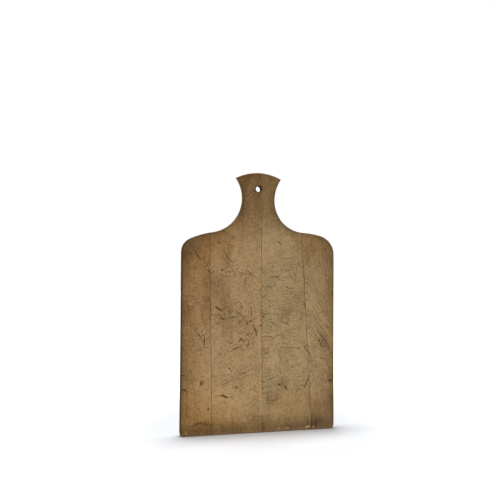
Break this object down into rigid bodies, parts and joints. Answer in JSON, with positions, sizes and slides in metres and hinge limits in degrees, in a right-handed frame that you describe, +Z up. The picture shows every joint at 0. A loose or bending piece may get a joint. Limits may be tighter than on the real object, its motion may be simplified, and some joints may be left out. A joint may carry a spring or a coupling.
{
  "type": "bread board",
  "caption": "Flat wooden bread board with rounded shoulders and a waisted, flared handle with a hanging hole, edge glued from staves; for cutting and serving bread.",
  "frame": {"origin": "middle of the foot, the board's straight bottom edge, at half the thickness", "axes": "+Z up along the board from the foot to the top of the handle, +Y from the cutting face to the back, +X to the right as seen from the cutting face"},
  "size_m": [0.2572, 0.015, 0.4238],
  "materials": {
    "left_stave_wood": "bare aged wood, warm tan, knife worn",
    "left_centre_stave_wood": "bare aged wood, pale tan, knife worn",
    "right_centre_stave_wood": "bare aged wood, greyish tan, knife worn",
    "right_stave_wood": "bare aged wood, tan, knife worn",
    "dowel_wood": "plain unfinished hardwood"
  },
  "bodies": {
    "root": {"left_stave": "left_stave_wood", "left_centre_stave": "left_centre_stave_wood", "right_centre_stave": "right_centre_stave_wood", "right_stave": "right_stave_wood", "left_dowel_1": "dowel_wood", "left_dowel_2": "dowel_wood", "left_dowel_3": "dowel_wood", "middle_dowel_1": "dowel_wood", "middle_dowel_2": "dowel_wood", "middle_dowel_3": "dowel_wood", "neck_dowel": "dowel_wood", "right_dowel_1": "dowel_wood", "right_dowel_2": "dowel_wood", "right_dowel_3": "dowel_wood"}
  },
  "joints": []
}
